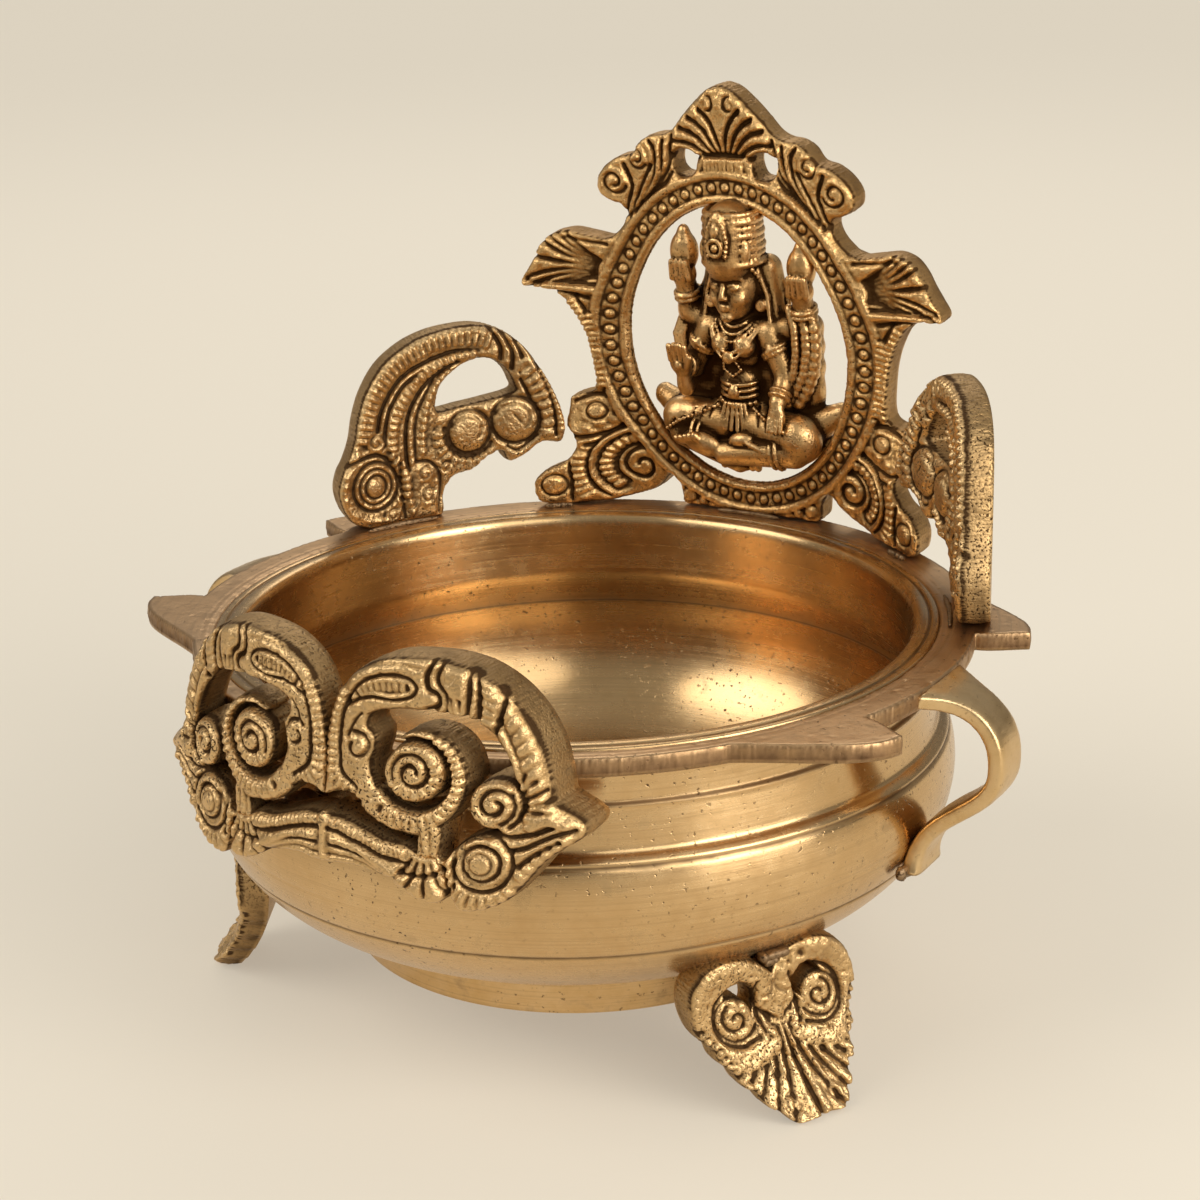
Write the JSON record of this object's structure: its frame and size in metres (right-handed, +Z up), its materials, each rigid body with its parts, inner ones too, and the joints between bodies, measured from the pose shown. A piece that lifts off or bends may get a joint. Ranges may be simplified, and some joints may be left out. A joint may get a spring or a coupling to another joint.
{
  "type": "footed bowl",
  "caption": "Footed brass urli bowl with a cusped rim, strap handles, cast front scrolls and a rear medallion with a seated figure.",
  "frame": {"origin": "centre of the outer box's footprint, on the surface that the three toes stand on", "axes": "+Z up, -Y towards the front scrolls, +Y towards the medallion, +X through the right handle"},
  "size_m": [0.187, 0.169, 0.1734],
  "materials": {
    "polished_brass": "turned and polished, warm golden, fine turning lines",
    "rim_brass": "matte cast face, filed, pinkish tan",
    "handle_brass": "filed and brushed strap",
    "cast_brass": "antiqued casting, dark brown in the recesses",
    "figure_brass": "antiqued casting, rubbed bright on the high points",
    "braze_metal": "greyish brazing metal, dull"
  },
  "bodies": {
    "root": {"bowl": "polished_brass", "foot_ring": "polished_brass", "rim_plate": "rim_brass", "handle_left": "handle_brass", "handle_right": "handle_brass", "leg_front_left": "cast_brass", "leg_front_right": "cast_brass", "leg_rear": "cast_brass", "front_scroll_left": "cast_brass", "front_scroll_right": "cast_brass", "front_swag": "cast_brass", "medallion_frame": "cast_brass", "seated_figure": "figure_brass", "rear_scroll_left": "cast_brass", "rear_scroll_right": "cast_brass", "handle_braze": "braze_metal", "leg_braze": "braze_metal", "front_braze": "braze_metal", "rear_braze": "braze_metal"}
  },
  "joints": []
}
